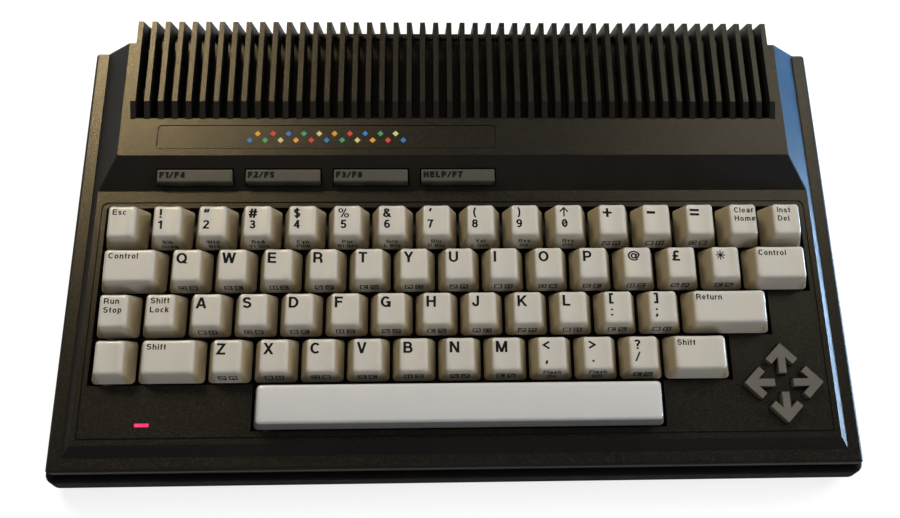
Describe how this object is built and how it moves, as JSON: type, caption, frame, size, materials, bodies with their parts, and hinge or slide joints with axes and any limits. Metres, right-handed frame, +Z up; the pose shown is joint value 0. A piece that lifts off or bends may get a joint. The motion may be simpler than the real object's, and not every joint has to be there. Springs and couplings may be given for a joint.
{
  "type": "home computer",
  "caption": "Wedge-shaped home computer with a built-in full-travel keyboard, long function keys, arrow keys, a finned rear deck, rear sockets and side switches.",
  "frame": {"origin": "centre of the bounding box, on the table", "axes": "+X along the front to the right as the user sits, +Y towards the back, +Z up"},
  "size_m": [0.3404, 0.2058, 0.0655],
  "materials": {
    "case_plastic": "fine moulded grain",
    "badge": "smooth satin plate",
    "led_red": "clear tinted lens",
    "key_ivory": "satin, slightly worn",
    "key_grey": "satin",
    "black_plastic": "satin",
    "circuit_board": "solder mask",
    "cable_grey": "ribbon cable",
    "capacitor_sleeve": "shrink sleeve",
    "tinplate": "tinned sheet",
    "spring_steel": "drawn wire",
    "screw_steel": "zinc plated",
    "connector_blue": "moulded",
    "foot_rubber": "soft rubber"
  },
  "bodies": {
    "case": {"lower_case": "case_plastic", "upper_case": "case_plastic", "badge_plate": "badge", "led_lens": "led_red", "led_lamp": "led_red", "keyboard_frame": "black_plastic", "keyboard_board": "circuit_board", "keyboard_cable": "cable_grey", "keyboard_screws": "screw_steel", "return_springs": "spring_steel", "main_board": "circuit_board", "chips": "black_plastic", "capacitors": "capacitor_sleeve", "rf_shield": "tinplate", "tv_modulator": "tinplate", "power_socket": "black_plastic", "din_sockets": "black_plastic", "control_sockets": "black_plastic", "expansion_connector": "connector_blue", "power_switch_housing": "black_plastic", "reset_switch_housing": "black_plastic", "rubber_feet": "foot_rubber", "case_screws": "screw_steel", "board_screws": "screw_steel"},
    "key_esc": {"key_esc": "key_ivory"},
    "key_clear_home": {"key_clear_home": "key_ivory"},
    "key_inst_del": {"key_inst_del": "key_ivory"},
    "key_control_left": {"key_control_left": "key_ivory"},
    "key_control_right": {"key_control_right": "key_ivory"},
    "key_run_stop": {"key_run_stop": "key_ivory"},
    "key_shift_lock": {"key_shift_lock": "key_ivory"},
    "key_corner": {"key_corner": "key_ivory"},
    "key_shift_left": {"key_shift_left": "key_ivory"},
    "key_shift_right": {"key_shift_right": "key_ivory"},
    "key_return": {"key_return": "key_ivory"},
    "space_bar": {"space_bar": "key_ivory"},
    "key_column_1": {"key_column_1": "key_ivory"},
    "key_column_2": {"key_column_2": "key_ivory"},
    "key_column_3": {"key_column_3": "key_ivory"},
    "key_column_4": {"key_column_4": "key_ivory"},
    "key_column_5": {"key_column_5": "key_ivory"},
    "key_column_6": {"key_column_6": "key_ivory"},
    "key_column_7": {"key_column_7": "key_ivory"},
    "key_column_8": {"key_column_8": "key_ivory"},
    "key_column_9": {"key_column_9": "key_ivory"},
    "key_column_10": {"key_column_10": "key_ivory"},
    "key_column_11": {"key_column_11": "key_ivory"},
    "key_column_12": {"key_column_12": "key_ivory"},
    "key_column_13": {"key_column_13": "key_ivory"},
    "function_key_1": {"function_key_1": "key_grey"},
    "function_key_2": {"function_key_2": "key_grey"},
    "function_key_3": {"function_key_3": "key_grey"},
    "function_key_4": {"function_key_4": "key_grey"},
    "cursor_up": {"cursor_up": "key_grey"},
    "cursor_down": {"cursor_down": "key_grey"},
    "cursor_left": {"cursor_left": "key_grey"},
    "cursor_right": {"cursor_right": "key_grey"},
    "power_rocker": {"power_rocker": "black_plastic"},
    "reset_button": {"reset_button": "black_plastic"},
    "channel_switch": {"channel_switch": "black_plastic"}
  },
  "joints": [
    {"name": "power_rocker_tip", "type": "hinge", "parent": "case", "child": "power_rocker", "pos_m": [0.1611, 0.04959, 0.0246], "axis": [0, 0, 1], "range_deg": [0, 16]},
    {"name": "reset_button_press", "type": "slide", "parent": "case", "child": "reset_button", "axis": [-1, 0, 0], "range_m": [0, 0.002], "stiffness_N_per_m": 300, "springref_m": -0.002},
    {"name": "channel_switch_slide", "type": "slide", "parent": "case", "child": "channel_switch", "axis": [1, 0, 0], "range_m": [0, 0.004]},
    {"name": "key_esc_press", "type": "slide", "parent": "case", "child": "key_esc", "axis": [0, 0.1478, -0.989], "range_m": [0, 0.0038], "stiffness_N_per_m": 150, "springref_m": -0.004},
    {"name": "key_clear_home_press", "type": "slide", "parent": "case", "child": "key_clear_home", "axis": [0, 0.1478, -0.989], "range_m": [0, 0.0038], "stiffness_N_per_m": 150, "springref_m": -0.004},
    {"name": "key_inst_del_press", "type": "slide", "parent": "case", "child": "key_inst_del", "axis": [0, 0.1478, -0.989], "range_m": [0, 0.0038], "stiffness_N_per_m": 150, "springref_m": -0.004},
    {"name": "key_control_left_press", "type": "slide", "parent": "case", "child": "key_control_left", "axis": [0, 0.1478, -0.989], "range_m": [0, 0.0038], "stiffness_N_per_m": 150, "springref_m": -0.004},
    {"name": "key_control_right_press", "type": "slide", "parent": "case", "child": "key_control_right", "axis": [0, 0.1478, -0.989], "range_m": [0, 0.0038], "stiffness_N_per_m": 150, "springref_m": -0.004},
    {"name": "key_run_stop_press", "type": "slide", "parent": "case", "child": "key_run_stop", "axis": [0, 0.1478, -0.989], "range_m": [0, 0.0038], "stiffness_N_per_m": 150, "springref_m": -0.004},
    {"name": "key_shift_lock_press", "type": "slide", "parent": "case", "child": "key_shift_lock", "axis": [0, 0.1478, -0.989], "range_m": [0, 0.0038], "stiffness_N_per_m": 150, "springref_m": -0.004},
    {"name": "key_corner_press", "type": "slide", "parent": "case", "child": "key_corner", "axis": [0, 0.1478, -0.989], "range_m": [0, 0.0038], "stiffness_N_per_m": 150, "springref_m": -0.004},
    {"name": "key_shift_left_press", "type": "slide", "parent": "case", "child": "key_shift_left", "axis": [0, 0.1478, -0.989], "range_m": [0, 0.0038], "stiffness_N_per_m": 150, "springref_m": -0.004},
    {"name": "key_shift_right_press", "type": "slide", "parent": "case", "child": "key_shift_right", "axis": [0, 0.1478, -0.989], "range_m": [0, 0.0038], "stiffness_N_per_m": 150, "springref_m": -0.004},
    {"name": "key_return_press", "type": "slide", "parent": "case", "child": "key_return", "axis": [0, 0.1478, -0.989], "range_m": [0, 0.0038], "stiffness_N_per_m": 150, "springref_m": -0.004},
    {"name": "space_bar_press", "type": "slide", "parent": "case", "child": "space_bar", "axis": [0, 0.1478, -0.989], "range_m": [0, 0.0038], "stiffness_N_per_m": 150, "springref_m": -0.004, "deforming": ["return_springs"]},
    {"name": "key_column_1_press", "type": "slide", "parent": "case", "child": "key_column_1", "axis": [0, 0.1478, -0.989], "range_m": [0, 0.0038], "stiffness_N_per_m": 150, "springref_m": -0.004},
    {"name": "key_column_2_press", "type": "slide", "parent": "case", "child": "key_column_2", "axis": [0, 0.1478, -0.989], "range_m": [0, 0.0038], "stiffness_N_per_m": 150, "springref_m": -0.004},
    {"name": "key_column_3_press", "type": "slide", "parent": "case", "child": "key_column_3", "axis": [0, 0.1478, -0.989], "range_m": [0, 0.0038], "stiffness_N_per_m": 150, "springref_m": -0.004},
    {"name": "key_column_4_press", "type": "slide", "parent": "case", "child": "key_column_4", "axis": [0, 0.1478, -0.989], "range_m": [0, 0.0038], "stiffness_N_per_m": 150, "springref_m": -0.004},
    {"name": "key_column_5_press", "type": "slide", "parent": "case", "child": "key_column_5", "axis": [0, 0.1478, -0.989], "range_m": [0, 0.0038], "stiffness_N_per_m": 150, "springref_m": -0.004},
    {"name": "key_column_6_press", "type": "slide", "parent": "case", "child": "key_column_6", "axis": [0, 0.1478, -0.989], "range_m": [0, 0.0038], "stiffness_N_per_m": 150, "springref_m": -0.004},
    {"name": "key_column_7_press", "type": "slide", "parent": "case", "child": "key_column_7", "axis": [0, 0.1478, -0.989], "range_m": [0, 0.0038], "stiffness_N_per_m": 150, "springref_m": -0.004},
    {"name": "key_column_8_press", "type": "slide", "parent": "case", "child": "key_column_8", "axis": [0, 0.1478, -0.989], "range_m": [0, 0.0038], "stiffness_N_per_m": 150, "springref_m": -0.004},
    {"name": "key_column_9_press", "type": "slide", "parent": "case", "child": "key_column_9", "axis": [0, 0.1478, -0.989], "range_m": [0, 0.0038], "stiffness_N_per_m": 150, "springref_m": -0.004},
    {"name": "key_column_10_press", "type": "slide", "parent": "case", "child": "key_column_10", "axis": [0, 0.1478, -0.989], "range_m": [0, 0.0038], "stiffness_N_per_m": 150, "springref_m": -0.004},
    {"name": "key_column_11_press", "type": "slide", "parent": "case", "child": "key_column_11", "axis": [0, 0.1478, -0.989], "range_m": [0, 0.0038], "stiffness_N_per_m": 150, "springref_m": -0.004},
    {"name": "key_column_12_press", "type": "slide", "parent": "case", "child": "key_column_12", "axis": [0, 0.1478, -0.989], "range_m": [0, 0.0038], "stiffness_N_per_m": 150, "springref_m": -0.004},
    {"name": "key_column_13_press", "type": "slide", "parent": "case", "child": "key_column_13", "axis": [0, 0.1478, -0.989], "range_m": [0, 0.0038], "stiffness_N_per_m": 150, "springref_m": -0.004},
    {"name": "function_key_1_press", "type": "slide", "parent": "case", "child": "function_key_1", "axis": [0, 0.1478, -0.989], "range_m": [0, 0.0026], "stiffness_N_per_m": 150, "springref_m": -0.004},
    {"name": "function_key_2_press", "type": "slide", "parent": "case", "child": "function_key_2", "axis": [0, 0.1478, -0.989], "range_m": [0, 0.0026], "stiffness_N_per_m": 150, "springref_m": -0.004},
    {"name": "function_key_3_press", "type": "slide", "parent": "case", "child": "function_key_3", "axis": [0, 0.1478, -0.989], "range_m": [0, 0.0026], "stiffness_N_per_m": 150, "springref_m": -0.004},
    {"name": "function_key_4_press", "type": "slide", "parent": "case", "child": "function_key_4", "axis": [0, 0.1478, -0.989], "range_m": [0, 0.0026], "stiffness_N_per_m": 150, "springref_m": -0.004},
    {"name": "cursor_up_press", "type": "slide", "parent": "case", "child": "cursor_up", "axis": [0, 0.1478, -0.989], "range_m": [0, 0.0026], "stiffness_N_per_m": 150, "springref_m": -0.004},
    {"name": "cursor_down_press", "type": "slide", "parent": "case", "child": "cursor_down", "axis": [0, 0.1478, -0.989], "range_m": [0, 0.0026], "stiffness_N_per_m": 150, "springref_m": -0.004},
    {"name": "cursor_left_press", "type": "slide", "parent": "case", "child": "cursor_left", "axis": [0, 0.1478, -0.989], "range_m": [0, 0.0026], "stiffness_N_per_m": 150, "springref_m": -0.004},
    {"name": "cursor_right_press", "type": "slide", "parent": "case", "child": "cursor_right", "axis": [0, 0.1478, -0.989], "range_m": [0, 0.0026], "stiffness_N_per_m": 150, "springref_m": -0.004}
  ]
}
